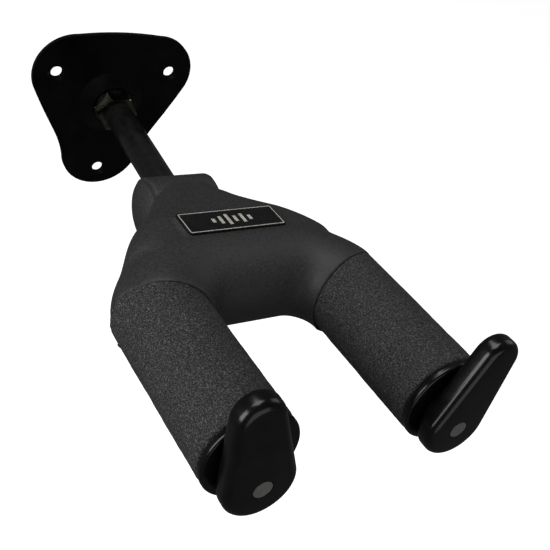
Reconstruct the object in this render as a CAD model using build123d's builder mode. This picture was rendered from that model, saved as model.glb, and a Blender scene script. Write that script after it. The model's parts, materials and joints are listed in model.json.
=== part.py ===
"""Wall hanger for a guitar, with a sprung yoke and two gates that close under load.

Row frame: X to the right when facing the wall, +Z up, the wall at +Y.
The origin lies on the wall plate's back face, on the axis of the arm tube.
The yoke is drawn in its own frame at the pivot, tipped up by TILT, where "forward" is -Y.
All lengths are millimetres and all angles degrees.
"""

from build123d import *

import os
from math import atan2, cos, degrees, radians, sin, tan

# ---- fits -------------------------------------------------------------------
RUNNING = 0.05  # radial play of a shaft that turns in its bush
SLIP = 0.1  # play round pieces that are pushed together by hand
SIDE_PLAY = 0.3  # play between faces that move past each other

# ---- wall plate -------------------------------------------------------------
PLATE_T = 2.0
EAR_X = 19.0
EAR_Z = 14.5
EAR_R = 18.5
CROWN = 1.2  # rise of the top edge over the ears
FOOT_Z = -27.5
FOOT_R = 19.0
WAIST_X = 26.9
WAIST_Z = -10.9
EAR_TURN = 25.0  # the ear's arc ends this far below its centre
FOOT_TURN = 10.0  # the foot's arc starts this far below its centre
SCREW_HOLE_R = 2.6
COUNTERSINK_R = 4.2
COUNTERSINK_DEPTH = 0.9
TOP_HOLE_X = 26.8
TOP_HOLE_Z = 15.2
FOOT_HOLE_Z = -37.6
DOME_R = 15.5
DOME_TOP_R = 9.8
DOME_RISE = 3.6

# ---- arm --------------------------------------------------------------------
ARM_REACH = 80.3  # wall to pivot
TUBE_R = 6.35
TUBE_WALL = 1.35
WASHER_T = 0.8
NUT_FLATS = 16.0
NUT_T = 6.5
BOLT_R = 2.5
BOLT_HEAD_FLATS = 8.0
BOLT_HEAD_T = 3.0
PLUG_L = 14.0

# ---- pivot ------------------------------------------------------------------
TILT = 7.0  # how far the unloaded yoke points up
TIP_TRAVEL = 7.0  # how far a load tips it down
PIVOT_PIN_R = 3.0
PIVOT_BUSH_T = 1.5
BLOCK_R = 9.5
BLOCK_HALF_W = 8.6
BLOCK_FLAT = 8.0  # front face of the block, from the pivot
TUBE_END = 5.2  # tube's end, from the pivot
PIVOT_WASHER_T = 0.4
PIVOT_WASHER_R = 7.5
BARREL_R = 13.5
BARREL_HALF_W = 14.0
CAP_R = 11.8
CAP_RIM_T = 0.8
CAP_DOME = 2.6

# ---- yoke shell -------------------------------------------------------------
WALL = 2.4
DECK_WALL = 3.6  # more than WALL, so the hollow's square corners stay inside the rounded deck
DECK_Z = 19.0
DECK_FLAT_START = 33.0  # where the sloping deck becomes level
ARM_X = 37.4
ARM_Z = 2.8
ARM_R = 17.5
CROTCH_LINE = 51.0  # centre line of the cross tube, from the pivot
CORNER_R = 22.0
MOUTH = 70.5  # mouth of each arm socket, on the sleeve's axis
MOUTH_SLANT = 17.0
SEAT_DEPTH = 3.0
BULKHEAD_T = 3.0
PARTING_Z = -9.5
FLANK = ((19.0, 12.5), (29.4, 25.8), (37.6, 35.5), (44.2, 46.5))
FLANK_START_RUN = (0.3, -1.0)  # direction of the flank where it leaves the barrel
FLANK_END_RUN = (0.6, -0.8)  # and where it meets the cross tube
NECK_SINK = 0.5  # the deck meets the barrel this far below its crest
DECK_EDGE_R = 9.0
BELLY_EDGE_R = 8.0
BADGE_W = 40.0
BADGE_H = 13.1
BADGE_T = 0.8
BADGE_CORNER_R = 1.2
BADGE_PAD = 0.9  # rise of the badge's seat above the deck
BADGE_MARGIN = 1.0
BADGE_FORWARD = 40.2
BOSS_R = 3.4
BOSSES = ((-17.0, 22.0), (17.0, 22.0), (-29.0, 44.0), (29.0, 44.0))
COVER_SCREW_R = 1.4
COVER_HEAD_R = 2.7
COVER_HEAD_T = 1.6
COVER_HEAD_Z = -11.6  # seat of each screw head, sunk into the cover's underside
COVER_SCREW_L = 12.0

# ---- arms and sleeves -------------------------------------------------------
CORE_R = 12.0
SLEEVE_R = 16.5
SLEEVE_END = 128.0
COLLAR_R = 16.2
COLLAR_T = 2.6
COLLAR_EDGE_R = 0.9
SPIGOT_R = 7.5
CORE_TAIL = 62.4
BUSH_OUTER_R = 5.2
BUSH_L = 6.0

# ---- gates ------------------------------------------------------------------
SHAFT_Z = -1.8
SHAFT_R = 3.15
GATE_FRONT = 139.2
GATE_T = 7.6
GATE_HUB_R = 12.0
GATE_TIP_R = 7.8
GATE_LENGTH = 27.6
GATE_LEAN = 13.0
GATE_EDGE_R = 2.8
GATE_SWING = 80.0
THRUST_R = 7.0
THRUST_T = 0.6
SHAFT_TAIL = 59.0
CRANK_T = 2.4
CRANK_HUB_R = 5.0
CRANK_EYE_R = 2.5
CRANK_PIN_R = 1.25
CRANK_PIN_L = 6.0

# ---- lock lever, spring and stops -------------------------------------------
LEVER_REACH = 56.0  # pivot to the fork bar
LEVER_W = 12.0
LEVER_T = 3.0
FORK_T = 3.0
FORK_CLEAR = 0.35
FORK_PRONG = 1.6
FORK_OVERHANG = 1.0
FORK_CORNER = 1.5
TAB_H = 12.0
TAB_T = 2.4
LEVER_SCREW_R = 1.2
LEVER_SCREWS = ((-3.4, 3.7), (3.4, 3.7))
LEVER_HEAD_R = 2.0
LEVER_HEAD_T = 1.2
LEVER_SCREW_L = 5.6
SPRING_FORWARD = 30.0
SPRING_R = 4.2
SPRING_WIRE_R = 0.7
SPRING_TURNS = 4
SPRING_L = 14.2
STOP_R = 4.0
REST_STOP_FORWARD = 20.0
REST_STOP_TOP = -4.6
LOAD_STOP_FORWARD = 42.0

# ---- worked out -------------------------------------------------------------
YOKE = Plane(
    origin=(0, -ARM_REACH, 0),
    x_dir=(1, 0, 0),
    z_dir=(0, sin(radians(TILT)), cos(radians(TILT))),
)
DOME_FACE = PLATE_T + DOME_RISE
TUBE_START = DOME_FACE + WASHER_T
BUSH_R = SHAFT_R + RUNNING
CHEEK_X = BLOCK_HALF_W + PIVOT_WASHER_T + SLIP
COLLAR_FRONT = SLEEVE_END + SLIP + COLLAR_T
THRUST_BACK = GATE_FRONT - GATE_T - THRUST_T
MID_TIP = radians(TILT - TIP_TRAVEL / 2)
CRANK_R = LEVER_REACH * sin(radians(TIP_TRAVEL / 2)) / sin(radians(GATE_SWING / 2))
CRANK_START = -GATE_SWING / 2
FORK_Z = (SHAFT_Z + LEVER_REACH * sin(MID_TIP)) / cos(MID_TIP)
FORK_HALF_H = CRANK_PIN_R + FORK_CLEAR + FORK_PRONG
FORK_TIP_X = ARM_X + CRANK_R + FORK_OVERHANG - CRANK_PIN_R

os.makedirs("parts", exist_ok=True)


def yoke_plane(plane):
    """The same plane, carried by the tipped yoke."""
    return Plane(YOKE.location * plane.location)


def across(forward):
    """Cross-section plane of the yoke: sketch X is across, sketch Y is up, extrusion runs forward."""
    return yoke_plane(Plane.XZ.offset(forward))


def level(height):
    """Plan plane of the yoke: sketch X is across, sketch Y is backward."""
    return yoke_plane(Plane.XY.offset(height))


def arm_across(distance):
    """Cross-section plane of the fixed arm, at a distance from the wall."""
    return Plane.XZ.offset(distance)


def socket_plane(side, behind):
    """Slanted plane of an arm socket, some way behind its mouth, facing out of it."""
    slant = radians(MOUTH_SLANT)
    local = Plane(
        origin=(side * ARM_X, behind - MOUTH, 0),
        x_dir=(0, 0, 1),
        z_dir=(side * sin(slant), -cos(slant), 0),
    )
    return yoke_plane(local)


# ---- fixed bracket ----------------------------------------------------------
def plate_outline():
    """Right half of the plate's outline, mirrored: an ear, a hollow waist and the foot."""
    ear_turn = radians(EAR_TURN)
    foot_turn = radians(FOOT_TURN)
    with BuildSketch() as outline:
        with BuildLine():
            ThreePointArc(
                (-EAR_X, EAR_Z + EAR_R), (0, EAR_Z + EAR_R + CROWN), (EAR_X, EAR_Z + EAR_R)
            )
            ear_start = (EAR_X, EAR_Z + EAR_R)
            ear_end = (EAR_X + EAR_R * cos(ear_turn), EAR_Z - EAR_R * sin(ear_turn))
            foot_start = (FOOT_R * cos(foot_turn), FOOT_Z - FOOT_R * sin(foot_turn))
            ear = ThreePointArc(
                ear_start,
                (EAR_X + EAR_R * cos(ear_turn), EAR_Z + EAR_R * sin(ear_turn)),
                ear_end,
            )
            waist = Spline(
                ear_end,
                (WAIST_X, WAIST_Z),
                foot_start,
                tangents=[(-sin(ear_turn), -cos(ear_turn)), (-sin(foot_turn), -cos(foot_turn))],
            )
            mirror(ear, about=Plane.YZ)
            mirror(waist, about=Plane.YZ)
            ThreePointArc(foot_start, (0, FOOT_Z - FOOT_R), (-foot_start[0], foot_start[1]))
        make_face()
    return outline.sketch


with BuildPart() as wall_plate:
    with BuildSketch(arm_across(0)):
        add(plate_outline())
        Circle(DOME_R - PLATE_T, mode=Mode.SUBTRACT)
    extrude(amount=PLATE_T)
    with BuildSketch(Plane.XY):
        Polygon(
            (BOLT_R + SLIP, -DOME_RISE),
            (DOME_TOP_R - PLATE_T, -DOME_RISE),
            (DOME_R - PLATE_T, 0),
            (DOME_R + PLATE_T, 0),
            (DOME_R + PLATE_T, -PLATE_T),
            (DOME_R, -PLATE_T),
            (DOME_TOP_R, -DOME_FACE),
            (BOLT_R + SLIP, -DOME_FACE),
            align=None,
        )
    revolve(axis=Axis.Y)
    with Locations(arm_across(PLATE_T)):
        with Locations((-TOP_HOLE_X, TOP_HOLE_Z), (TOP_HOLE_X, TOP_HOLE_Z), (0, FOOT_HOLE_Z)):
            CounterSinkHole(
                radius=SCREW_HOLE_R,
                counter_sink_radius=COUNTERSINK_R,
                depth=PLATE_T,
                counter_sink_angle=2 * degrees(atan2(COUNTERSINK_R - SCREW_HOLE_R, COUNTERSINK_DEPTH)),
            )
wall_plate.part.label = "wall_plate"
export_step(wall_plate.part, "parts/wall_plate.step")

with BuildPart() as retaining_bolt:
    with BuildSketch(arm_across(DOME_RISE - BOLT_HEAD_T)):
        RegularPolygon(BOLT_HEAD_FLATS / 2, 6, major_radius=False)
    extrude(amount=BOLT_HEAD_T)
    with BuildSketch(arm_across(DOME_RISE)):
        Circle(BOLT_R)
    extrude(amount=TUBE_START + PLUG_L - DOME_RISE)
retaining_bolt.part.label = "retaining_bolt"
export_step(retaining_bolt.part, "parts/retaining_bolt.step")

with BuildPart() as arm_washer:
    with BuildSketch(arm_across(DOME_FACE)):
        Circle(NUT_FLATS / 2 + WASHER_T)
        Circle(BOLT_R + SLIP, mode=Mode.SUBTRACT)
    extrude(amount=WASHER_T)
arm_washer.part.label = "arm_washer"
export_step(arm_washer.part, "parts/arm_washer.step")

with BuildPart() as threaded_plug:
    with BuildSketch(arm_across(TUBE_START)):
        Circle(TUBE_R - TUBE_WALL)
        Circle(BOLT_R, mode=Mode.SUBTRACT)
    extrude(amount=PLUG_L)
threaded_plug.part.label = "threaded_plug"
export_step(threaded_plug.part, "parts/threaded_plug.step")

with BuildPart() as arm_tube:
    with BuildSketch(arm_across(TUBE_START)):
        Circle(TUBE_R)
        Circle(TUBE_R - TUBE_WALL, mode=Mode.SUBTRACT)
    extrude(amount=ARM_REACH - TUBE_END - TUBE_START)
arm_tube.part.label = "arm_tube"
export_step(arm_tube.part, "parts/arm_tube.step")

with BuildPart() as collar_nut:
    with BuildSketch(arm_across(TUBE_START)):
        RegularPolygon(NUT_FLATS / 2, 6, major_radius=False)
    extrude(amount=NUT_T)
    with BuildSketch(arm_across(TUBE_START)):
        Circle(NUT_FLATS / 2 + WASHER_T + NUT_T)
    extrude(amount=NUT_T, taper=45, mode=Mode.INTERSECT)
    with BuildSketch(arm_across(TUBE_START)):
        Circle(TUBE_R)
    extrude(amount=NUT_T, mode=Mode.SUBTRACT)
collar_nut.part.label = "collar_nut"
export_step(collar_nut.part, "parts/collar_nut.step")

with BuildPart() as pivot_block:
    with BuildSketch(Plane.YZ.offset(-BLOCK_HALF_W)):
        with Locations((-ARM_REACH, 0)):
            Circle(BLOCK_R)
        with Locations((-ARM_REACH - BLOCK_FLAT, 0)):
            Rectangle(2 * BLOCK_R, 2 * BLOCK_R, align=(Align.MAX, Align.CENTER), mode=Mode.SUBTRACT)
        with Locations((-ARM_REACH, 0)):
            Circle(PIVOT_PIN_R + RUNNING + PIVOT_BUSH_T, mode=Mode.SUBTRACT)
    extrude(amount=2 * BLOCK_HALF_W)
    with BuildSketch(arm_across(ARM_REACH - 2 * BLOCK_R)):
        Circle(TUBE_R)
    extrude(amount=2 * BLOCK_R - TUBE_END, mode=Mode.SUBTRACT)
    with BuildSketch(arm_across(ARM_REACH + BLOCK_FLAT)):
        with Locations(*LEVER_SCREWS):
            Circle(LEVER_SCREW_R)
    extrude(amount=TAB_T - LEVER_SCREW_L, mode=Mode.SUBTRACT)
pivot_block.part.label = "pivot_block"
export_step(pivot_block.part, "parts/pivot_block.step")

with BuildPart() as pivot_bush:
    with BuildSketch(Plane.YZ.offset(-BLOCK_HALF_W)):
        with Locations((-ARM_REACH, 0)):
            Circle(PIVOT_PIN_R + RUNNING + PIVOT_BUSH_T)
            Circle(PIVOT_PIN_R + RUNNING, mode=Mode.SUBTRACT)
    extrude(amount=2 * BLOCK_HALF_W)
pivot_bush.part.label = "pivot_bush"
export_step(pivot_bush.part, "parts/pivot_bush.step")

with BuildPart() as lock_lever:
    with BuildSketch(Plane.XY.offset(-LEVER_T / 2)):
        with Locations((0, -ARM_REACH - BLOCK_FLAT)):
            Rectangle(LEVER_W, LEVER_REACH - BLOCK_FLAT, align=(Align.CENTER, Align.MAX))
    extrude(amount=LEVER_T)
    with BuildSketch(arm_across(ARM_REACH + BLOCK_FLAT)):
        Rectangle(LEVER_W, TAB_H)
    extrude(amount=TAB_T)
    with BuildSketch(arm_across(ARM_REACH + LEVER_REACH - FORK_T / 2)) as fork:
        with Locations((0, FORK_Z)):
            Rectangle(2 * FORK_TIP_X, 2 * FORK_HALF_H)
        chamfer(fork.vertices(), length=FORK_CORNER)
        for side in (-1, 1):
            with Locations((side * FORK_TIP_X, FORK_Z)):
                Rectangle(
                    2 * (CRANK_R + CRANK_PIN_R + FORK_OVERHANG),
                    2 * (CRANK_PIN_R + FORK_CLEAR),
                    mode=Mode.SUBTRACT,
                )
    extrude(amount=FORK_T)
    with BuildSketch(arm_across(ARM_REACH + BLOCK_FLAT)):
        with Locations(*LEVER_SCREWS):
            Circle(LEVER_SCREW_R)
    extrude(amount=TAB_T, mode=Mode.SUBTRACT)
lock_lever.part.label = "lock_lever"
export_step(lock_lever.part, "parts/lock_lever.step")

with BuildPart() as lever_screws:
    with BuildSketch(arm_across(ARM_REACH + BLOCK_FLAT + TAB_T - LEVER_SCREW_L)):
        with Locations(*LEVER_SCREWS):
            Circle(LEVER_SCREW_R)
    extrude(amount=LEVER_SCREW_L)
    with BuildSketch(arm_across(ARM_REACH + BLOCK_FLAT + TAB_T)):
        with Locations(*LEVER_SCREWS):
            Circle(LEVER_HEAD_R)
    extrude(amount=LEVER_HEAD_T)
lever_screws.part.label = "lever_screws"
export_step(lever_screws.part, "parts/lever_screws.step")


# ---- yoke shell -------------------------------------------------------------
def local_point(edge):
    """Middle of an edge in the yoke's own frame."""
    return YOKE.to_local_coords(edge.center(CenterOf.BOUNDING_BOX))


def is_flank_edge(edge):
    """Whether an edge runs along the flank, where the side meets the deck or the belly."""
    middle = local_point(edge)
    beside = abs(middle.X) > BARREL_HALF_W + SIDE_PLAY
    behind = -middle.Y < FLANK[-1][1]
    lengthwise = edge.bounding_box().size.Y > WALL
    return beside and behind and lengthwise and abs(middle.Z) > BARREL_R / 2


def deck_form(inset):
    """Neck and deck of the shell: the plan outline cut to the side profile, all moved in by inset."""
    flank_turn = atan2(FLANK[-1][0] - FLANK[0][0], FLANK[-1][1] - FLANK[0][1])
    side_inset = inset / cos(flank_turn)
    with BuildPart() as form:
        with BuildSketch(level(-2 * ARM_R)):
            with BuildLine():
                start = (BARREL_HALF_W - WALL / 2 - side_inset, 0.0)
                corner = (ARM_X - CORNER_R, inset - CROTCH_LINE)
                right = Spline(
                    start,
                    *[(x - side_inset, -forward) for x, forward in FLANK],
                    tangents=[FLANK_START_RUN, FLANK_END_RUN],
                )
                mirror(right, about=Plane.YZ)
                Line(start, (-start[0], 0.0))
                Polyline(right @ 1, corner, (-corner[0], corner[1]), (-(right @ 1).X, (right @ 1).Y))
            make_face()
        extrude(amount=4 * ARM_R)
        with BuildSketch(yoke_plane(Plane.YZ.offset(-2 * ARM_X))):
            Polygon(
                (0, BARREL_R - NECK_SINK - inset),
                (-DECK_FLAT_START, DECK_Z - inset),
                (-CROTCH_LINE, DECK_Z - inset),
                (-CROTCH_LINE, ARM_Z - ARM_R + WALL + inset),
                (-DECK_FLAT_START, ARM_Z - ARM_R + WALL + inset),
                (0, -BARREL_R + NECK_SINK + inset),
                align=None,
            )
        extrude(amount=4 * ARM_X, mode=Mode.INTERSECT)
    return form.part


def cross_tube(radius):
    """The round tube that runs across the crotch and turns forward into both arm sockets."""
    with BuildPart() as form:
        with BuildLine(level(ARM_Z)) as route:
            FilletPolyline(
                (-ARM_X, -MOUTH - CORNER_R),
                (-ARM_X, -CROTCH_LINE),
                (ARM_X, -CROTCH_LINE),
                (ARM_X, -MOUTH - CORNER_R),
                radius=CORNER_R,
            )
        with BuildSketch(Plane(origin=route.line @ 0, z_dir=route.line % 0)):
            Circle(radius)
        sweep()
    return form.part


def barrel(radius, half_width):
    """A cylinder on the pivot's axis."""
    with BuildPart() as form:
        with BuildSketch(yoke_plane(Plane.YZ.offset(-half_width))):
            Circle(radius)
        extrude(amount=2 * half_width)
    return form.part


def cut_at_sockets(behind):
    """Cuts the part in hand off at both sockets, some way behind their mouths."""
    for side in (-1, 1):
        split(bisect_by=socket_plane(side, behind), keep=Keep.BOTTOM)


def outer_form():
    """The closed outside of the yoke shell, with soft deck edges."""
    deck = deck_form(0)
    tube = cross_tube(ARM_R)
    neck = barrel(BARREL_R, BARREL_HALF_W)
    with BuildPart() as form:
        add(deck)
        fillet([e for e in form.edges() if is_flank_edge(e) and local_point(e).Z > 0], DECK_EDGE_R)
        fillet([e for e in form.edges() if is_flank_edge(e) and local_point(e).Z < 0], BELLY_EDGE_R)
        add(tube)
        add(neck)
        cut_at_sockets(0)
        with BuildSketch(level(DECK_Z + BADGE_PAD)):
            with Locations((0, -BADGE_FORWARD)):
                RectangleRounded(BADGE_W + BADGE_MARGIN, BADGE_H + BADGE_MARGIN, BADGE_CORNER_R)
        extrude(amount=-WALL)
    return form.part


def hollow_form():
    """The room inside the shell, from the pivot's cheeks to the bulkheads."""
    deck = deck_form(DECK_WALL)
    tube = cross_tube(ARM_R - WALL)
    with BuildPart() as form:
        add(deck)
        add(tube)
        cut_at_sockets(SEAT_DEPTH + BULKHEAD_T)
        split(bisect_by=across(BLOCK_R + WALL), keep=Keep.TOP)
    return form.part


def pivot_room():
    """The room for the pivot block, open forward to the lever and backward for the tube's swing."""
    drum = barrel(BLOCK_R + SIDE_PLAY, CHEEK_X)
    swing = BARREL_R * tan(radians(TILT))
    with BuildPart() as form:
        add(drum)
        with BuildSketch(across(0)):
            Rectangle(2 * CHEEK_X, 2 * (BLOCK_R + SIDE_PLAY))
        extrude(amount=BLOCK_R + 2 * WALL)
        with BuildSketch(across(0)):
            with Locations((0, swing / 2)):
                SlotCenterToCenter(swing, 2 * (TUBE_R + 2 * SIDE_PLAY), rotation=90)
        extrude(amount=-2 * BARREL_R)
    return form.part


def boss_posts(outside):
    """Posts for the cover screws, from belly to deck inside the shell."""
    with BuildPart() as posts:
        with BuildSketch(level(-2 * ARM_R)):
            with Locations(*[(x, -forward) for x, forward in BOSSES]):
                Circle(BOSS_R)
        extrude(amount=4 * ARM_R)
        add(outside, mode=Mode.INTERSECT)
    return posts.part


def socket_seats():
    """Two round seats for the foam's ends, cut from each mouth back to its bulkhead."""
    seats = []
    for side in (-1, 1):
        with BuildPart() as seat:
            with BuildSketch(across(0)):
                with Locations((side * ARM_X, ARM_Z)):
                    Circle(SLEEVE_R + SLIP)
            extrude(amount=2 * MOUTH)
            split(bisect_by=socket_plane(side, SEAT_DEPTH), keep=Keep.TOP)
        seats.append(seat.part)
    return seats


outside = outer_form()
inside = hollow_form()
pivot_hollow = pivot_room()
posts = boss_posts(outside)
seats = socket_seats()

with BuildPart() as whole_shell:
    add(outside)
    add(inside, mode=Mode.SUBTRACT)
    add(posts)
    add(pivot_hollow, mode=Mode.SUBTRACT)
    add(seats, mode=Mode.SUBTRACT)
    for side in (-1, 1):
        with BuildSketch(across(CORE_TAIL)):
            with Locations((side * ARM_X, ARM_Z)):
                Circle(CORE_R)
        extrude(amount=MOUTH, mode=Mode.SUBTRACT)
        with BuildSketch(yoke_plane(Plane.YZ.offset(side * BARREL_HALF_W))):
            Circle(CAP_R + SLIP)
        extrude(amount=side * BARREL_R, mode=Mode.SUBTRACT)
    with BuildSketch(yoke_plane(Plane.YZ)):
        Circle(PIVOT_PIN_R)
    extrude(amount=2 * BARREL_HALF_W, both=True, mode=Mode.SUBTRACT)

with BuildPart() as upper_shell:
    add(whole_shell.part)
    split(bisect_by=level(PARTING_Z), keep=Keep.TOP)
    with BuildSketch(level(PARTING_Z)):
        with Locations(*[(x, -forward) for x, forward in BOSSES]):
            Circle(COVER_SCREW_R)
    extrude(amount=COVER_SCREW_L, mode=Mode.SUBTRACT)
upper_shell.part.label = "upper_shell"
export_step(upper_shell.part, "parts/upper_shell.step")

with BuildPart() as base_cover:
    add(whole_shell.part)
    split(bisect_by=level(PARTING_Z), keep=Keep.BOTTOM)
    with BuildSketch(level(PARTING_Z)):
        with Locations(*[(x, -forward) for x, forward in BOSSES]):
            Circle(COVER_SCREW_R)
    extrude(amount=-ARM_R, mode=Mode.SUBTRACT)
    with BuildSketch(level(COVER_HEAD_Z)):
        with Locations(*[(x, -forward) for x, forward in BOSSES]):
            Circle(COVER_HEAD_R + SLIP)
    extrude(amount=-ARM_R, mode=Mode.SUBTRACT)
base_cover.part.label = "base_cover"
export_step(base_cover.part, "parts/base_cover.step")

with BuildPart() as cover_screws:
    with BuildSketch(level(COVER_HEAD_Z)):
        with Locations(*[(x, -forward) for x, forward in BOSSES]):
            Circle(COVER_SCREW_R)
    extrude(amount=PARTING_Z - COVER_HEAD_Z + COVER_SCREW_L - SIDE_PLAY)
    with BuildSketch(level(COVER_HEAD_Z)):
        with Locations(*[(x, -forward) for x, forward in BOSSES]):
            Circle(COVER_HEAD_R)
    extrude(amount=-COVER_HEAD_T)
cover_screws.part.label = "cover_screws"
export_step(cover_screws.part, "parts/cover_screws.step")

with BuildPart() as badge_plate:
    with BuildSketch(level(DECK_Z + BADGE_PAD)):
        with Locations((0, -BADGE_FORWARD)):
            RectangleRounded(BADGE_W, BADGE_H, BADGE_CORNER_R)
    extrude(amount=BADGE_T)
badge_plate.part.label = "badge_plate"
export_step(badge_plate.part, "parts/badge_plate.step")

# ---- pivot, spring and stops ------------------------------------------------
with BuildPart() as pivot_pin:
    with BuildSketch(yoke_plane(Plane.YZ)):
        Circle(PIVOT_PIN_R)
    extrude(amount=BARREL_HALF_W, both=True)
pivot_pin.part.label = "pivot_pin"
export_step(pivot_pin.part, "parts/pivot_pin.step")

with BuildPart() as pivot_washers:
    for side in (-1, 1):
        with BuildSketch(yoke_plane(Plane.YZ.offset(side * CHEEK_X))):
            Circle(PIVOT_WASHER_R)
            Circle(PIVOT_PIN_R, mode=Mode.SUBTRACT)
        extrude(amount=-side * PIVOT_WASHER_T)
pivot_washers.part.label = "pivot_washers"
export_step(pivot_washers.part, "parts/pivot_washers.step")

for side, hand in ((-1, "left"), (1, "right")):
    with BuildPart() as pivot_cap:
        dome_r = (CAP_R**2 + CAP_DOME**2) / (2 * CAP_DOME)
        rim = BARREL_HALF_W + CAP_RIM_T
        with BuildSketch(yoke_plane(Plane.XY)):
            with BuildLine():
                Line((side * BARREL_HALF_W, 0), (side * BARREL_HALF_W, CAP_R))
                Line((side * BARREL_HALF_W, CAP_R), (side * rim, CAP_R))
                RadiusArc((side * rim, CAP_R), (side * (rim + CAP_DOME), 0), side * dome_r)
                Line((side * (rim + CAP_DOME), 0), (side * BARREL_HALF_W, 0))
            make_face()
        revolve(axis=Axis(YOKE.origin, (1, 0, 0)))
    pivot_cap.part.label = f"pivot_cap_{hand}"
    export_step(pivot_cap.part, f"parts/pivot_cap_{hand}.step")

with BuildPart() as return_spring:
    spring_foot = Plane((0, -ARM_REACH - SPRING_FORWARD, LEVER_T / 2 + SPRING_WIRE_R + SLIP))
    with BuildLine(spring_foot):
        coil = Helix(SPRING_L / SPRING_TURNS, SPRING_L, SPRING_R)
    with BuildSketch(Plane(origin=coil @ 0, z_dir=coil % 0)):
        Circle(SPRING_WIRE_R)
    sweep(is_frenet=True)
return_spring.part.label = "return_spring"
export_step(return_spring.part, "parts/return_spring.step")

with BuildPart() as rest_stop:
    with BuildSketch(level(-ARM_R)):
        with Locations((0, -REST_STOP_FORWARD)):
            Circle(STOP_R)
    extrude(amount=ARM_R + REST_STOP_TOP)
    add(inside, mode=Mode.INTERSECT)
rest_stop.part.label = "rest_stop"
export_step(rest_stop.part, "parts/rest_stop.step")

with BuildPart() as load_stop:
    with BuildSketch(level(LEVER_T / 2 + SLIP)):
        with Locations((0, -LOAD_STOP_FORWARD)):
            Circle(STOP_R)
    extrude(amount=ARM_R)
    add(inside, mode=Mode.INTERSECT)
load_stop.part.label = "load_stop"
export_step(load_stop.part, "parts/load_stop.step")


# ---- arms, sleeves and gates ------------------------------------------------
def crank_outline(side):
    """Crank arm seen from the front: a hub and an eye, joined by their common tangents."""
    with BuildSketch() as outline:
        Circle(CRANK_HUB_R)
        with Locations(crank_eye(side)):
            Circle(CRANK_EYE_R)
        make_hull()
    return outline.sketch


def crank_eye(side):
    """Place of the crank's eye from its shaft at rest: outboard, below the shaft."""
    turn = radians(CRANK_START)
    return (side * CRANK_R * cos(turn), CRANK_R * sin(turn))


def gate_outline(side):
    """Gate seen from the front: a round hub that narrows to a leaning round tip."""
    lean = radians(GATE_LEAN)
    with BuildSketch() as outline:
        Circle(GATE_HUB_R)
        with Locations((side * GATE_LENGTH * sin(lean), GATE_LENGTH * cos(lean))):
            Circle(GATE_TIP_R)
        make_hull()
    return outline.sketch


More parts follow.
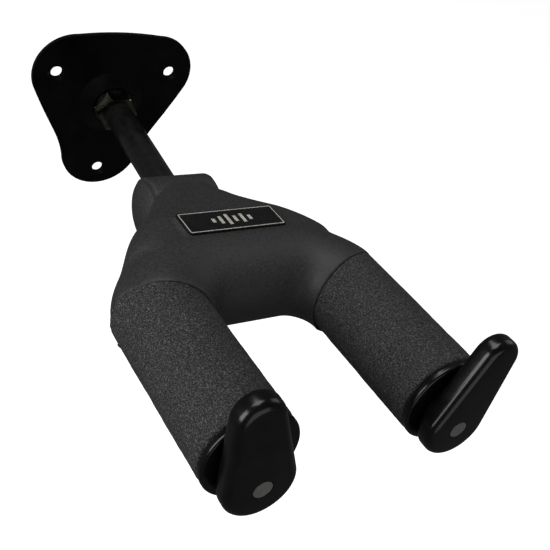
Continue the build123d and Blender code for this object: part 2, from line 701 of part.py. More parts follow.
for side, hand in ((-1, "left"), (1, "right")):
    sleeve_axis = (side * ARM_X, ARM_Z)
    shaft_axis = (side * ARM_X, SHAFT_Z)

    with BuildPart() as arm_core:
        with BuildSketch(across(CORE_TAIL)):
            with Locations(sleeve_axis):
                Circle(CORE_R)
        extrude(amount=SLEEVE_END + SLIP - CORE_TAIL)
        with BuildSketch(across(SLEEVE_END + SLIP)):
            with Locations(shaft_axis):
                Circle(SPIGOT_R)
        extrude(amount=COLLAR_T)
        with BuildSketch(across(CORE_TAIL)):
            with Locations(shaft_axis):
                Circle(BUSH_OUTER_R)
        extrude(amount=COLLAR_FRONT - CORE_TAIL, mode=Mode.SUBTRACT)
    arm_core.part.label = f"arm_core_{hand}"
    export_step(arm_core.part, f"parts/arm_core_{hand}.step")

    with BuildPart() as foam_sleeve:
        with BuildSketch(across(CROTCH_LINE)):
            with Locations(sleeve_axis):
                Circle(SLEEVE_R)
                Circle(CORE_R, mode=Mode.SUBTRACT)
        extrude(amount=SLEEVE_END - CROTCH_LINE)
        split(bisect_by=socket_plane(side, SEAT_DEPTH), keep=Keep.TOP)
    foam_sleeve.part.label = f"foam_sleeve_{hand}"
    export_step(foam_sleeve.part, f"parts/foam_sleeve_{hand}.step")

    with BuildPart() as end_collar:
        with BuildSketch(across(SLEEVE_END + SLIP)):
            with Locations(sleeve_axis):
                Circle(COLLAR_R)
            with Locations(shaft_axis):
                Circle(SPIGOT_R, mode=Mode.SUBTRACT)
        extrude(amount=COLLAR_T)
        rim_edges = end_collar.edges().filter_by(GeomType.CIRCLE).group_by(SortBy.RADIUS)[-1]
        fillet(rim_edges, COLLAR_EDGE_R)
    end_collar.part.label = f"end_collar_{hand}"
    export_step(end_collar.part, f"parts/end_collar_{hand}.step")

    for place, start in (("rear", CORE_TAIL), ("front", COLLAR_FRONT - BUSH_L)):
        with BuildPart() as shaft_bush:
            with BuildSketch(across(start)):
                with Locations(shaft_axis):
                    Circle(BUSH_OUTER_R)
                    Circle(BUSH_R, mode=Mode.SUBTRACT)
            extrude(amount=BUSH_L)
        shaft_bush.part.label = f"{place}_bush_{hand}"
        export_step(shaft_bush.part, f"parts/{place}_bush_{hand}.step")

    with BuildPart() as gate_shaft:
        with BuildSketch(across(SHAFT_TAIL)):
            with Locations(shaft_axis):
                Circle(SHAFT_R)
        extrude(amount=GATE_FRONT - SHAFT_TAIL)
    gate_shaft.part.label = f"gate_shaft_{hand}"
    export_step(gate_shaft.part, f"parts/gate_shaft_{hand}.step")

    with BuildPart() as thrust_washer:
        with BuildSketch(across(THRUST_BACK)):
            with Locations(shaft_axis):
                Circle(THRUST_R)
                Circle(SHAFT_R, mode=Mode.SUBTRACT)
        extrude(amount=THRUST_T)
    thrust_washer.part.label = f"thrust_washer_{hand}"
    export_step(thrust_washer.part, f"parts/thrust_washer_{hand}.step")

    gate_shape = gate_outline(side)
    with BuildPart() as gate:
        with BuildSketch(across(GATE_FRONT - GATE_T)):
            with Locations(shaft_axis):
                add(gate_shape)
        extrude(amount=GATE_T)
        fillet(gate.edges().filter_by(Plane(YOKE.location * Plane.XZ.location)), GATE_EDGE_R)
        with BuildSketch(across(GATE_FRONT - GATE_T)):
            with Locations(shaft_axis):
                Circle(SHAFT_R)
        extrude(amount=GATE_T, mode=Mode.SUBTRACT)
    gate.part.label = f"gate_{hand}"
    export_step(gate.part, f"parts/gate_{hand}.step")

    crank_shape = crank_outline(side)
    eye_x, eye_z = crank_eye(side)
    with BuildPart() as gate_crank:
        with BuildSketch(across(SHAFT_TAIL)):
            with Locations(shaft_axis):
                add(crank_shape)
                Circle(SHAFT_R, mode=Mode.SUBTRACT)
            with Locations((shaft_axis[0] + eye_x, shaft_axis[1] + eye_z)):
                Circle(CRANK_PIN_R, mode=Mode.SUBTRACT)
        extrude(amount=CRANK_T)
    gate_crank.part.label = f"gate_crank_{hand}"
    export_step(gate_crank.part, f"parts/gate_crank_{hand}.step")

    with BuildPart() as crank_pin:
        with BuildSketch(across(SHAFT_TAIL + CRANK_T)):
            with Locations((shaft_axis[0] + eye_x, shaft_axis[1] + eye_z)):
                Circle(CRANK_PIN_R)
        extrude(amount=-(CRANK_T + CRANK_PIN_L))
    crank_pin.part.label = f"crank_pin_{hand}"
    export_step(crank_pin.part, f"parts/crank_pin_{hand}.step")
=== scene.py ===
# %% [markdown]
# A wall hanger for a guitar, dressed for its portrait.
# The engineered parts come in as a fixed frame. This lesson gives each one its finish, and models anew the
# pieces whose looks need more than a machined shape: the moulded housing, the foam sleeves, the gates
# and the label.
# Everything is in metres. X runs to the right when facing the wall, Y into the wall, and Z up.

# %% Load the frame
import json
from math import cos, pi, radians, sin

import bpy
from mathutils import Matrix, Vector

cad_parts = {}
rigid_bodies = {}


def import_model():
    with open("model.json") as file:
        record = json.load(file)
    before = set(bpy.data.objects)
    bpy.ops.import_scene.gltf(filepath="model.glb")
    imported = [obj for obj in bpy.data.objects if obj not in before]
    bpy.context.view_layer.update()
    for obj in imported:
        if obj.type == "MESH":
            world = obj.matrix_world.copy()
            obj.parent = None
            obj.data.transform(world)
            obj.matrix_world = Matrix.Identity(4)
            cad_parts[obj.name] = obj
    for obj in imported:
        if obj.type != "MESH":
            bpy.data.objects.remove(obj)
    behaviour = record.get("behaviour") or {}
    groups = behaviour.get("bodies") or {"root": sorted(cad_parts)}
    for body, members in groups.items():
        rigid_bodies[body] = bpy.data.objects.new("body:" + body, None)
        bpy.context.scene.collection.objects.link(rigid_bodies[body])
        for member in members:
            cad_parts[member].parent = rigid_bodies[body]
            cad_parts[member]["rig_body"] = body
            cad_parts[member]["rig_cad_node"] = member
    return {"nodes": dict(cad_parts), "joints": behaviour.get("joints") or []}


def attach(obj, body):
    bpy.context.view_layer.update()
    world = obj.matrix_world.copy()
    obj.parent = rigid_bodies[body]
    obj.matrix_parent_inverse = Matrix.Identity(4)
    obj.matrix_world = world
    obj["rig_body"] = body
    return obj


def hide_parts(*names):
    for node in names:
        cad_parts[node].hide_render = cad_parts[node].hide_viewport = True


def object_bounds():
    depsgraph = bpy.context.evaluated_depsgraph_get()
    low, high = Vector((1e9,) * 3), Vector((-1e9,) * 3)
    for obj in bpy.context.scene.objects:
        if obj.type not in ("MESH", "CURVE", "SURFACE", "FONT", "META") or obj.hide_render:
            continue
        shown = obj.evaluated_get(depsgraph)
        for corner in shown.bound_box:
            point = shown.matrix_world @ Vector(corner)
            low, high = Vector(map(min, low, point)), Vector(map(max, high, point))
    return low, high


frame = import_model()
cad_low, cad_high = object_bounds()
MM = 0.001
SIDES = (("left", -1), ("right", 1))
ROUND_SIDES = 96

# %% [markdown]
# The forked yoke is tipped up a few degrees, and the gates turn about axes along its arms.
# It is easier to model its pieces level, in the yoke's own frame, and to tip each one when it is done.
# The joints say where that frame is: its origin is the pivot, its Y runs back along the arms.

# %% The yoke's own frame
joints = {joint["name"]: joint for joint in frame["joints"]}
pivot = Vector(joints["yoke_tip"]["pos_m"])
across = Vector((1, 0, 0))
back = Vector(joints["gate_left_turn"]["axis"])
yoke_frame = Matrix((across, back, across.cross(back))).transposed().to_4x4()
yoke_frame.translation = pivot
to_yoke = yoke_frame.inverted()


def yoke_box(node):
    """Lowest and highest corner of an engineered part, measured in the yoke's own frame."""
    corners = [to_yoke @ vertex.co for vertex in frame["nodes"][node].data.vertices]
    low = Vector([min(c[k] for c in corners) for k in range(3)])
    high = Vector([max(c[k] for c in corners) for k in range(3)])
    return low, high


print("the yoke's pivot is", [round(v, 4) for v in pivot])

# %% [markdown]
# A few small helpers keep the cells short. Operators act on all that is selected, so a helper
# clears the selection first, and another adds a modifier and applies it at once.


# %% Helpers for operators
def clear_selection():
    """Leaves edit mode and deselects every object."""
    if bpy.context.mode != "OBJECT":
        bpy.ops.object.mode_set(mode="OBJECT")
    bpy.ops.object.select_all(action="DESELECT")


def take(piece):
    """Makes one piece the selected and active one."""
    clear_selection()
    piece.select_set(True)
    bpy.context.view_layer.objects.active = piece


def apply_modifier(piece, kind, **settings):
    """Adds a modifier to a piece, sets it, and applies it."""
    take(piece)
    bpy.ops.object.modifier_add(type=kind)
    modifier = piece.modifiers[-1]
    for name, value in settings.items():
        setattr(modifier, name, value)
    bpy.ops.object.modifier_apply(modifier=modifier.name)


def edit_vertices(piece, wanted):
    """Enters edit mode with just the vertices selected whose place passes a test."""
    take(piece)
    bpy.ops.object.mode_set(mode="EDIT")
    bpy.ops.mesh.select_mode(type="VERT")
    bpy.ops.mesh.select_all(action="DESELECT")
    bpy.ops.object.mode_set(mode="OBJECT")
    for vertex in piece.data.vertices:
        vertex.select = wanted(vertex.co)
    bpy.ops.object.mode_set(mode="EDIT")


def edit_faces(piece, wanted):
    """Enters edit mode with just the faces selected that pass a test."""
    take(piece)
    bpy.ops.object.mode_set(mode="EDIT")
    bpy.ops.mesh.select_mode(type="FACE")
    bpy.ops.mesh.select_all(action="DESELECT")
    bpy.ops.object.mode_set(mode="OBJECT")
    for face in piece.data.polygons:
        face.select = wanted(face)
    bpy.ops.object.mode_set(mode="EDIT")


def settle(piece, name, matrix=None):
    """Names a finished piece, carries it by a matrix, and puts its place into its mesh."""
    clear_selection()
    piece.name = piece.data.name = name
    if matrix is not None:
        piece.matrix_world = matrix @ piece.matrix_world
    take(piece)
    bpy.ops.object.transform_apply(location=True, rotation=True, scale=True)
    faces = len(piece.data.polygons)
    print(f"{name}: {faces} faces")
    return piece


def smooth(piece, angle=radians(35)):
    """Smooth shading, except over edges sharper than the angle."""
    take(piece)
    bpy.ops.object.shade_smooth_by_angle(angle=angle)


def finish_piece(piece, body, slot, material, *nodes):
    """Dresses a piece, hangs it on its body, and hides the engineered parts it stands in for."""
    piece.data.materials.clear()
    piece.data.materials.append(material)
    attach(piece, body)
    if nodes:
        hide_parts(*nodes)


# %% [markdown]
# Every finish is procedural. Most of them differ in four things: two close tones that drift over the
# surface, how uneven the gloss is, how fine the relief is, and how deep. One recipe makes them all,
# and the sizes are given in millimetres, because a noise texture's scale is one over its size.


# %% The recipe for a finish
def noise_of(nodes, links, size, detail=3.0):
    """A noise texture on object coordinates with features of that size, in metres."""
    place = nodes.new("ShaderNodeTexCoord")
    noise = nodes.new("ShaderNodeTexNoise")
    noise.inputs["Scale"].default_value = 1 / size
    noise.inputs["Detail"].default_value = detail
    links.new(place.outputs["Object"], noise.inputs["Vector"])
    return noise


def ramp_of(nodes, links, source, low, high, reach=0.2):
    """Maps the middle of a noise's range, 0.5 give or take the reach, to a range of its own."""
    spread = nodes.new("ShaderNodeMapRange")
    spread.inputs["From Min"].default_value = 0.5 - reach
    spread.inputs["From Max"].default_value = 0.5 + reach
    spread.inputs["To Min"].default_value = low
    spread.inputs["To Max"].default_value = high
    links.new(source, spread.inputs["Value"])
    return spread.outputs["Result"]


def blend_of(nodes, links, factor, dark, light):
    """Mixes two colours by a factor."""
    mix = nodes.new("ShaderNodeMix")
    mix.data_type = "RGBA"
    mix.inputs["A"].default_value = (*dark, 1)
    mix.inputs["B"].default_value = (*light, 1)
    links.new(factor, mix.inputs["Factor"])
    return mix.outputs["Result"]


def bump_of(nodes, links, height, depth, shader):
    """Adds a relief of that depth, in metres, to a shader."""
    bump = nodes.new("ShaderNodeBump")
    bump.inputs["Strength"].default_value = 1.0
    bump.inputs["Distance"].default_value = depth
    links.new(height, bump.inputs["Height"])
    links.new(bump.outputs["Normal"], shader.inputs["Normal"])
    return bump


def make_finish(name, dark, light, patch, gloss, relief, metallic=0.0, specular=0.5):
    """A finish: tones drifting over patches, a range of roughness, and a relief of (size, depth)."""
    material = bpy.data.materials.new(name)
    material.use_nodes = True
    nodes, links = material.node_tree.nodes, material.node_tree.links
    shader = nodes["Principled BSDF"]
    shader.inputs["Metallic"].default_value = metallic
    shader.inputs["Specular IOR Level"].default_value = specular
    tone = noise_of(nodes, links, patch)
    factor = ramp_of(nodes, links, tone.outputs["Fac"], 0.0, 1.0)
    links.new(blend_of(nodes, links, factor, dark, light), shader.inputs["Base Color"])
    links.new(ramp_of(nodes, links, tone.outputs["Fac"], *gloss), shader.inputs["Roughness"])
    fine = noise_of(nodes, links, relief[0])
    bump_of(nodes, links, fine.outputs["Fac"], relief[1], shader)
    return material


# %% [markdown]
# The plain finishes. The housing is a matte moulded plastic with a fine grain, the gates and collars are
# a glossy one, and the bracket is painted steel. The parts inside are zinc, bronze, acetal and rubber.

# %% Plain finishes
housing_grain = make_finish(
    "housing_grain", (0.015, 0.015, 0.016), (0.031, 0.031, 0.032), 0.9 * MM,
    (0.5, 0.68), (0.8 * MM, 0.14 * MM),
)
gate_gloss = make_finish(
    "gate_gloss", (0.002, 0.002, 0.002), (0.004, 0.004, 0.004), 6 * MM,
    (0.18, 0.26), (1.6 * MM, 0.02 * MM), specular=0.4,
)
tube_paint = make_finish(
    "tube_paint", (0.004, 0.004, 0.0042), (0.007, 0.007, 0.0072), 4 * MM,
    (0.18, 0.24), (0.9 * MM, 0.004 * MM), specular=0.75,
)
plate_enamel = make_finish(
    "plate_enamel", (0.0015, 0.0015, 0.0016), (0.003, 0.003, 0.0032), 9 * MM,
    (0.22, 0.34), (1.4 * MM, 0.03 * MM), specular=0.15,
)
pin_steel = make_finish(
    "pin_steel", (0.2, 0.2, 0.19), (0.29, 0.29, 0.28), 0.6 * MM,
    (0.45, 0.6), (0.3 * MM, 0.02 * MM), metallic=0.7,
)
nut_steel = make_finish(
    "nut_steel", (0.08, 0.077, 0.06), (0.22, 0.215, 0.17), 4.5 * MM,
    (0.1, 0.2), (0.8 * MM, 0.008 * MM), metallic=1.0,
)
zinc_plate = make_finish(
    "zinc_plate", (0.38, 0.38, 0.36), (0.56, 0.56, 0.54), 1.5 * MM,
    (0.3, 0.45), (0.4 * MM, 0.01 * MM), metallic=1.0,
)
spring_wire = make_finish(
    "spring_wire", (0.2, 0.2, 0.21), (0.34, 0.34, 0.35), 1.0 * MM,
    (0.25, 0.4), (0.3 * MM, 0.01 * MM), metallic=1.0,
)
sintered_bronze = make_finish(
    "sintered_bronze", (0.36, 0.22, 0.09), (0.56, 0.37, 0.17), 0.5 * MM,
    (0.4, 0.6), (0.25 * MM, 0.03 * MM), metallic=1.0,
)
acetal = make_finish(
    "acetal", (0.55, 0.55, 0.52), (0.7, 0.7, 0.67), 2 * MM, (0.35, 0.45), (0.5 * MM, 0.01 * MM),
)
core_nylon = make_finish(
    "core_nylon", (0.014, 0.014, 0.014), (0.026, 0.026, 0.026), 1.2 * MM, (0.45, 0.6), (0.5 * MM, 0.03 * MM),
)
stop_rubber = make_finish(
    "stop_rubber", (0.012, 0.012, 0.012), (0.022, 0.022, 0.022), 1.0 * MM, (0.7, 0.85), (0.4 * MM, 0.04 * MM),
)
print("finishes so far:", len(bpy.data.materials))

# %% [markdown]
# Each engineered part that stays gets its finish by the part's name. One table keeps them together.

# %% Dress the engineered parts
DRESS = {
    plate_enamel: ["wall_plate"],
    tube_paint: ["arm_tube"],
    nut_steel: ["collar_nut", "arm_washer"],
    zinc_plate: ["retaining_bolt", "threaded_plug", "pivot_block", "lock_lever", "lever_screws",
                 "cover_screws", "pivot_pin", "gate_crank_left", "gate_crank_right"],
    spring_wire: ["return_spring"],
    sintered_bronze: ["pivot_bush", "rear_bush_left", "rear_bush_right", "front_bush_left",
                      "front_bush_right"],
    acetal: ["pivot_washers", "thrust_washer_left", "thrust_washer_right"],
    core_nylon: ["arm_core_left", "arm_core_right"],
    stop_rubber: ["rest_stop", "load_stop"],
    housing_grain: ["pivot_cap_left", "pivot_cap_right", "upper_shell", "base_cover"],
    gate_gloss: ["end_collar_left", "end_collar_right", "gate_left", "gate_right", "badge_plate",
                 "foam_sleeve_left", "foam_sleeve_right"],
    pin_steel: ["gate_shaft_left", "gate_shaft_right", "crank_pin_left", "crank_pin_right"],
}
for material, names in DRESS.items():
    for name in names:
        part = frame["nodes"][name]
        part.data.materials.clear()
        part.data.materials.append(material)
        print(f"{name} is dressed in {material.name}")

# %% [markdown]
# The housing is moulded in two shells: an upper one, whose deck melts softly into the tube that runs across
# the fork, and a flat cover below. Its engineered solids have crisp seams where their forms meet, and
# loose triangles. A copy of each is merged, remeshed into an even skin, and relaxed.
# Relaxing everything would round off the lips and the label's seat too, so a vertex group holds it
# off near them. The group's weight grows with the distance from each edge that has to stay crisp.


# %% The housing's skins
MERGE_GAP = 0.002 * MM
SKIN_VOXEL = 0.65 * MM
EASE_ROUNDS = 4
RELAX_ROUNDS = 200
LIP_SLANT = radians(17)
LIP_KEEP = 2.5 * MM
SOFTEN_OVER = 4 * MM


def copy_of(node):
    """A merged copy of an engineered part, free of its body."""
    clear_selection()
    source = frame["nodes"][node]
    source.select_set(True)
    bpy.context.view_layer.objects.active = source
    bpy.ops.object.duplicate()
    copy = bpy.context.object
    bpy.ops.object.parent_clear(type="CLEAR")
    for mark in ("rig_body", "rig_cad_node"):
        del copy[mark]
    bpy.ops.object.mode_set(mode="EDIT")
    bpy.ops.mesh.select_all(action="SELECT")
    bpy.ops.mesh.remove_doubles(threshold=MERGE_GAP)
    bpy.ops.object.mode_set(mode="OBJECT")
    return copy


def ramp(distance):
    """0 up to the kept width, then growing to 1."""
    return min(1.0, max(0.0, (distance - LIP_KEEP) / SOFTEN_OVER))


shell_low, shell_high = yoke_box("upper_shell")
badge_low, badge_high = yoke_box("badge_plate")
arm_x = sum(corner.x for corner in yoke_box("end_collar_right")) / 2
cap_front = yoke_box("pivot_cap_right")[0].y
lip_normal = Vector((sin(LIP_SLANT), -cos(LIP_SLANT), 0))
lip_point = Vector((shell_high.x, shell_low.y, 0))


def softness(place):
    """How far a point of the upper shell may relax: not at the lips, the neck, the cover or the label."""
    local = to_yoke @ place
    from_cover = local.z - shell_low.z
    from_lip = (lip_point - Vector((abs(local.x), local.y, 0))).dot(lip_normal)
    from_neck = cap_front - local.y
    beside = max(abs(local.x) - badge_high.x, abs(local.y - (badge_low.y + badge_high.y) / 2)
                 - (badge_high.y - badge_low.y) / 2)
    from_label = beside if local.z > badge_low.z - 2 * MM else 1.0
    return min(ramp(from_cover), ramp(from_lip), ramp(from_neck + LIP_KEEP), ramp(from_label))


def make_skin(node, name, relax=0):
    """An even skin over a shell: remeshed, eased a little all over, and relaxed where it may be."""
    skin = copy_of(node)
    apply_modifier(skin, "REMESH", mode="VOXEL", voxel_size=SKIN_VOXEL)
    apply_modifier(skin, "SMOOTH", factor=0.5, iterations=EASE_ROUNDS)
    if relax:
        group = skin.vertex_groups.new(name="soft")
        for vertex in skin.data.vertices:
            weight = softness(vertex.co)
            if weight > 0:
                group.add([vertex.index], weight, "REPLACE")
        apply_modifier(skin, "SMOOTH", factor=0.5, iterations=relax, vertex_group="soft")
        skin.vertex_groups.clear()
    take(skin)
    bpy.ops.object.shade_smooth()
    return settle(skin, name)


housing_top = make_skin("upper_shell", "housing_top", relax=RELAX_ROUNDS)
finish_piece(housing_top, "yoke", "shell_plastic", housing_grain, "upper_shell")
housing_base = make_skin("base_cover", "housing_base")
finish_piece(housing_base, "yoke", "shell_plastic", housing_grain, "base_cover")

# %% [markdown]
# Each arm wears a tube of closed-cell foam, which is what the guitar's headstock touches. It is cut from
# stock, so its skin is coarse and never quite even, and its front edge is soft. Here it starts as
# a cylinder: the slanted socket end is bisected, the ends are inset and bridged for the bore, and
# the front edge is bevelled. Then it is remeshed, so that two displacements can work on an even skin: a
# slow one for the stock's waviness, and a quick one for the cut cells.


# %% Foam sleeves
FOAM_VOXEL = 0.55 * MM
FOAM_EDGE = 1.5 * MM
FOAM_WAVE = 0.35 * MM
FOAM_WAVE_SIZE = 9 * MM
FOAM_CELL = 0.16 * MM
FOAM_CELL_SIZE = 1.1 * MM
foam_waves = bpy.data.textures.new("foam_waves", "CLOUDS")
foam_waves.noise_scale = FOAM_WAVE_SIZE
foam_cells = bpy.data.textures.new("foam_cells", "CLOUDS")
foam_cells.noise_scale = FOAM_CELL_SIZE
core_radius = (yoke_box("arm_core_left")[1].x - yoke_box("arm_core_left")[0].x) / 2


def make_sleeve(hand, side):
    """A foam tube in the place of its engineered solid."""
    low, high = yoke_box(f"foam_sleeve_{hand}")
    radius = (high.x - low.x) / 2
    middle = (low + high) / 2
    clear_selection()
    bpy.ops.mesh.primitive_cylinder_add(
        vertices=ROUND_SIDES, radius=radius, depth=high.y - low.y, location=middle, rotation=(pi / 2, 0, 0)
    )
    sleeve = settle(bpy.context.object, f"sleeve_{hand}")
    take(sleeve)
    bpy.ops.object.mode_set(mode="EDIT")
    bpy.ops.mesh.select_all(action="SELECT")
    socket_y = high.y - radius * sin(LIP_SLANT) / cos(LIP_SLANT)
    bpy.ops.mesh.bisect(
        plane_co=(middle.x, socket_y, 0), plane_no=(side * sin(LIP_SLANT), -cos(LIP_SLANT), 0),
        use_fill=True, clear_inner=True,
    )
    edit_faces(sleeve, lambda face: abs(face.normal.y) > cos(2 * LIP_SLANT))
    bpy.ops.mesh.inset(thickness=radius - core_radius)
    bpy.ops.mesh.delete(type="FACE")

    def in_bore(place):
        return (Vector((place.x, place.z)) - Vector((middle.x, middle.z))).length < (radius + core_radius) / 2

    edit_vertices(sleeve, in_bore)
    bpy.ops.mesh.bridge_edge_loops()

    def on_front_edge(place):
        return place.y < low.y + FOAM_EDGE / 2 and not in_bore(place)

    edit_vertices(sleeve, on_front_edge)
    bpy.ops.mesh.bevel(offset=FOAM_EDGE, segments=5, affect="EDGES")
    apply_modifier(sleeve, "REMESH", mode="VOXEL", voxel_size=FOAM_VOXEL)
    apply_modifier(sleeve, "DISPLACE", texture=foam_waves, mid_level=1.0, strength=FOAM_WAVE)
    apply_modifier(sleeve, "DISPLACE", texture=foam_cells, mid_level=1.0, strength=FOAM_CELL)
    take(sleeve)
    bpy.ops.object.shade_smooth()
    return settle(sleeve, sleeve.name, yoke_frame)


# %% [markdown]
# The foam's colour carries painted glints: the rims of its cut cells are painted pale, as highlights. Small
# cells from a Voronoi texture give the pits, and a fine noise breaks them up.


# %% The foam's finish
PIT_SIZE = 0.6 * MM
SPECK_SIZE = 0.45 * MM
SPECK_REACH = 0.09
FOAM_DARK = (0.007, 0.0067, 0.007)
# The pale tone is painted glint on the cells' rims, not the foam's own colour, which is the dark tone.
FOAM_PAINTED_GLINT = (0.15, 0.145, 0.148)
FOAM_RELIEF = 0.3 * MM


def make_foam():
    """Charcoal foam: dark pits, rims painted pale as glints, and a deep fine relief."""
    material = bpy.data.materials.new("foam_with_painted_glints")
    material.use_nodes = True
    nodes, links = material.node_tree.nodes, material.node_tree.links
    shader = nodes["Principled BSDF"]
    shader.inputs["Specular IOR Level"].default_value = 0.35
    place = nodes.new("ShaderNodeTexCoord")
    cells = nodes.new("ShaderNodeTexVoronoi")
    cells.inputs["Scale"].default_value = 1 / PIT_SIZE
    links.new(place.outputs["Object"], cells.inputs["Vector"])
    speck = noise_of(nodes, links, SPECK_SIZE, detail=4.0)
    pits = ramp_of(nodes, links, speck.outputs["Fac"], 0.0, 1.0, reach=SPECK_REACH)
    glint_and_relief = nodes.new("ShaderNodeMath")
    glint_and_relief.operation = "MULTIPLY"
    links.new(cells.outputs["Distance"], glint_and_relief.inputs[0])
    links.new(pits, glint_and_relief.inputs[1])
    # Where this product is high the colour turns pale: painted glints on the cells' rims. The same product is
    # the relief's height.
    tone = blend_of(nodes, links, glint_and_relief.outputs["Value"], FOAM_DARK, FOAM_PAINTED_GLINT)
    links.new(tone, shader.inputs["Base Color"])
    links.new(ramp_of(nodes, links, speck.outputs["Fac"], 0.62, 0.85), shader.inputs["Roughness"])
    bump_of(nodes, links, glint_and_relief.outputs["Value"], FOAM_RELIEF, shader)
    return material


foam_with_painted_glints = make_foam()
for hand, side in SIDES:
    sleeve = make_sleeve(hand, side)
    finish_piece(sleeve, "yoke", "sleeve_foam", foam_with_painted_glints, f"foam_sleeve_{hand}")

# %% [markdown]
# The gates are thick glossy paddles: a round hub on the shaft, narrowing to a round tip that leans
# outwards. Seen from the front, that is the hull of two circles. It can be made from one cylinder:
# the vertices on the tip's side are scaled to the tip's radius and moved out along the lean.
# A wide bevel then rolls both faces into the rim, and a shallow counterbore leaves the
# shaft's end standing in a thin dark ring.

# %% Gate paddles
GATE_HUB_R = 12.0 * MM
GATE_TIP_R = 7.8 * MM
GATE_LENGTH = 27.6 * MM
GATE_LEAN = radians(13)
GATE_ROUND = 2.7 * MM
RIM_ANGLE = radians(40)
PIN_RING = 0.25 * MM
RING_DEPTH = 0.9 * MM
shaft_z = sum(corner.z for corner in yoke_box("gate_shaft_left")) / 2
shaft_radius = (yoke_box("gate_shaft_left")[1].x - yoke_box("gate_shaft_left")[0].x) / 2


def make_paddle(hand, side):
    """A gate, from one cylinder stretched between two radii."""
    low, high = yoke_box(f"gate_{hand}")
    hub = Vector((side * arm_x, (low.y + high.y) / 2, shaft_z))
    lean = Vector((side * sin(GATE_LEAN), 0, cos(GATE_LEAN)))
    clear_selection()
    bpy.ops.mesh.primitive_cylinder_add(
        vertices=ROUND_SIDES, radius=GATE_HUB_R, depth=high.y - low.y, location=hub, rotation=(pi / 2, 0, 0)
    )
    paddle = settle(bpy.context.object, f"paddle_{hand}")
    taper = (GATE_HUB_R - GATE_TIP_R) / GATE_LENGTH
    edit_vertices(paddle, lambda place: (place - hub).dot(lean) > GATE_HUB_R * taper)
    shrink = GATE_TIP_R / GATE_HUB_R
    bpy.ops.transform.resize(value=(shrink, 1, shrink), center_override=hub)
    bpy.ops.transform.translate(value=GATE_LENGTH * lean)
    bpy.ops.object.mode_set(mode="OBJECT")
    apply_modifier(
        paddle, "BEVEL", width=GATE_ROUND, segments=8, limit_method="ANGLE", angle_limit=RIM_ANGLE,
    )
    clear_selection()
    bpy.ops.mesh.primitive_cylinder_add(
        vertices=64, radius=shaft_radius + PIN_RING, depth=2 * RING_DEPTH,
        location=(hub.x, low.y, hub.z), rotation=(pi / 2, 0, 0),
    )
    cutter = bpy.context.object
    apply_modifier(paddle, "BOOLEAN", object=cutter, operation="DIFFERENCE", solver="EXACT")
    bpy.data.objects.remove(cutter)
    smooth(paddle, radians(50))
    return settle(paddle, paddle.name, yoke_frame)


for hand, side in SIDES:
    finish_piece(make_paddle(hand, side), f"gate_{hand}", "gate_gloss", gate_gloss, f"gate_{hand}")

# %% [markdown]
# The label is a thin glossy plate with a pale line round it. Its field holds a plain motif of upright
# bars, like a level meter. The line is a ring of faces between two insets of the top.

# %% Label
LABEL_MARGIN = 0.55 * MM
LABEL_LINE = 0.4 * MM
LABEL_CORNER = 1.2 * MM
FACING_UP = 0.9
BAR_HEIGHTS = (2.4, 4.6, 6.6, 3.6, 5.4, 2.8)
BAR_PITCH = 3.0 * MM
BAR_WIDTH = 1.3 * MM
BAR_RISE = 0.12 * MM
label_black = make_finish(
    "label_black", (0.005, 0.005, 0.005), (0.009, 0.009, 0.009), 5 * MM, (0.12, 0.2), (1.2 * MM, 0.01 * MM),
)
label_pale = make_finish(
    "label_pale", (0.42, 0.41, 0.36), (0.6, 0.59, 0.52), 2 * MM, (0.3, 0.45), (0.4 * MM, 0.02 * MM),
)


def make_label():
    """A rounded plate with a pale line round its field and raised pale bars."""
    size = badge_high - badge_low
    middle = (badge_low + badge_high) / 2
    clear_selection()
    bpy.ops.mesh.primitive_cube_add(size=1, location=middle, scale=size)
    label = settle(bpy.context.object, "label")
    label.data.materials.append(label_black)
    label.data.materials.append(label_pale)
    take(label)
    bpy.ops.object.mode_set(mode="EDIT")
    bpy.ops.mesh.select_mode(type="EDGE")
    bpy.ops.mesh.select_all(action="DESELECT")
    bpy.ops.object.mode_set(mode="OBJECT")
    for edge in label.data.edges:
        ends = [label.data.vertices[k].co for k in edge.vertices]
        edge.select = abs(ends[0].z - ends[1].z) > size.z / 2
    bpy.ops.object.mode_set(mode="EDIT")
    bpy.ops.mesh.bevel(offset=LABEL_CORNER, segments=6, affect="EDGES")
    edit_faces(label, lambda face: face.normal.z > FACING_UP)
    bpy.ops.mesh.inset(thickness=LABEL_MARGIN)
    label.active_material_index = 1
    bpy.ops.object.material_slot_assign()
    bpy.ops.mesh.inset(thickness=LABEL_LINE)
    label.active_material_index = 0
    bpy.ops.object.material_slot_assign()
    bpy.ops.object.mode_set(mode="OBJECT")
    bars = []
    for k, height in enumerate(BAR_HEIGHTS):
        x = (k - (len(BAR_HEIGHTS) - 1) / 2) * BAR_PITCH
        clear_selection()
        bpy.ops.mesh.primitive_cube_add(
            size=1, location=(x, middle.y, badge_high.z), scale=(BAR_WIDTH, height * MM, BAR_RISE)
        )
        bar = bpy.context.object
        apply_modifier(bar, "BEVEL", width=BAR_RISE / 3, segments=2)
        bar.data.materials.append(label_pale)
        bars.append(bar)
    take(label)
    for bar in bars:
        bar.select_set(True)
    bpy.ops.object.join()
    return settle(label, "label", yoke_frame)


label = make_label()
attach(label, "yoke")
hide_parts("badge_plate")

# %% [markdown]
# The stage: a pale floor well below, four soft lamps, and a pale sky. The lamps are large, so that
# black plastic shows broad soft highlights, which is the only way to read its shape. The sky is bright
# to the camera but lights the object only a little, so the lamps do the modelling.

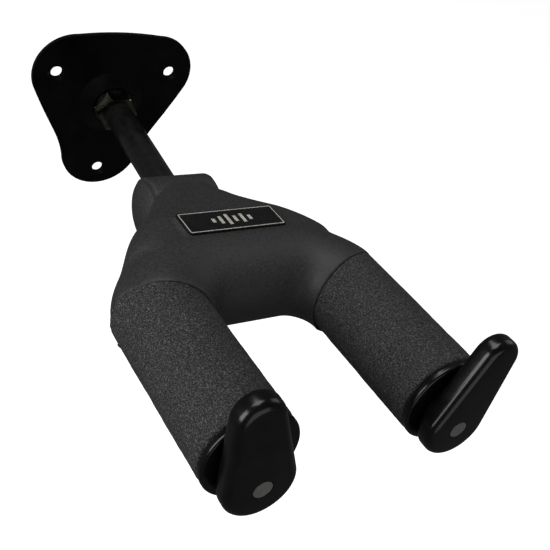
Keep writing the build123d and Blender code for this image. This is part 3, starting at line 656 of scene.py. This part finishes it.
# %% Floor, lamps and sky
FLOOR_Z = -0.45
FLOOR_GLOW = 0.9
SKY_LIGHT = 0.07
SKY_SEEN = 1.0
clear_selection()
bpy.ops.mesh.primitive_plane_add(size=12, location=(0, 0, FLOOR_Z))
floor = bpy.context.object
floor.name = "floor"
pale = make_finish("pale_floor", (0.86, 0.86, 0.86), (0.88, 0.88, 0.88), 0.5, (0.8, 0.9), (0.1, 0.0001))
pale.node_tree.nodes["Principled BSDF"].inputs["Emission Color"].default_value = (1, 1, 1, 1)
pale.node_tree.nodes["Principled BSDF"].inputs["Emission Strength"].default_value = FLOOR_GLOW
floor.data.materials.append(pale)
floor.visible_diffuse = False
floor.visible_glossy = False

target = (cad_low + cad_high) / 2
LAMPS = (
    ("key_lamp", (-0.15, 0.05, 0.8), 0.5, 3.1),
    ("fill_lamp", (-0.85, -0.2, 0.25), 0.6, 5.8),
    ("edge_lamp", (0.75, -0.1, 0.5), 0.5, 0.9),
    ("front_lamp", (0.05, -0.9, 0.02), 0.6, 1.0),
)
for name, place, width, power in LAMPS:
    clear_selection()
    bpy.ops.object.light_add(type="AREA", location=place)
    lamp = bpy.context.object
    lamp.name = name
    lamp.data.size = width
    lamp.data.energy = power
    lamp.rotation_euler = (target - Vector(place)).to_track_quat("-Z", "Y").to_euler()

world = bpy.context.scene.world or bpy.data.worlds.new("sky")
bpy.context.scene.world = world
world.use_nodes = True
sky_nodes, sky_links = world.node_tree.nodes, world.node_tree.links
sky = sky_nodes["Background"]
sky.inputs["Color"].default_value = (1, 1, 1, 1)
seen = sky_nodes.new("ShaderNodeLightPath").outputs["Is Camera Ray"]
strength = sky_nodes.new("ShaderNodeMapRange")
strength.inputs["To Min"].default_value = SKY_LIGHT
strength.inputs["To Max"].default_value = SKY_SEEN
sky_links.new(seen, strength.inputs["Value"])
sky_links.new(strength.outputs["Result"], sky.inputs["Strength"])
bpy.context.scene.view_settings.view_transform = "Standard"
print("stage set with", len(LAMPS), "lamps")

# %% [markdown]
# The camera looks down on the hanger from its front left, and is rolled, so the arms run to the
# lower right. Its direction and roll are set as a matrix: right, up and away from the subject.

# %% Camera
CAMERA_SPOT = Vector((-0.1501, -0.3149, 0.2065))
SIGHT = Vector((0.5251, 0.5761, -0.6263)).normalized()
ROLL = radians(21.12)
LENS = 55.08

level_right = SIGHT.cross(Vector((0, 0, 1))).normalized()
level_up = level_right.cross(SIGHT)
right = cos(ROLL) * level_right + sin(ROLL) * level_up
up = cos(ROLL) * level_up - sin(ROLL) * level_right
clear_selection()
bpy.ops.object.camera_add(location=CAMERA_SPOT)
camera = bpy.context.object
camera.matrix_world = Matrix.Translation(CAMERA_SPOT) @ Matrix((right, up, -SIGHT)).transposed().to_4x4()
camera.data.lens = LENS
camera.data.clip_start = 0.01
bpy.context.scene.camera = camera
print("camera at", [round(v, 3) for v in camera.location])
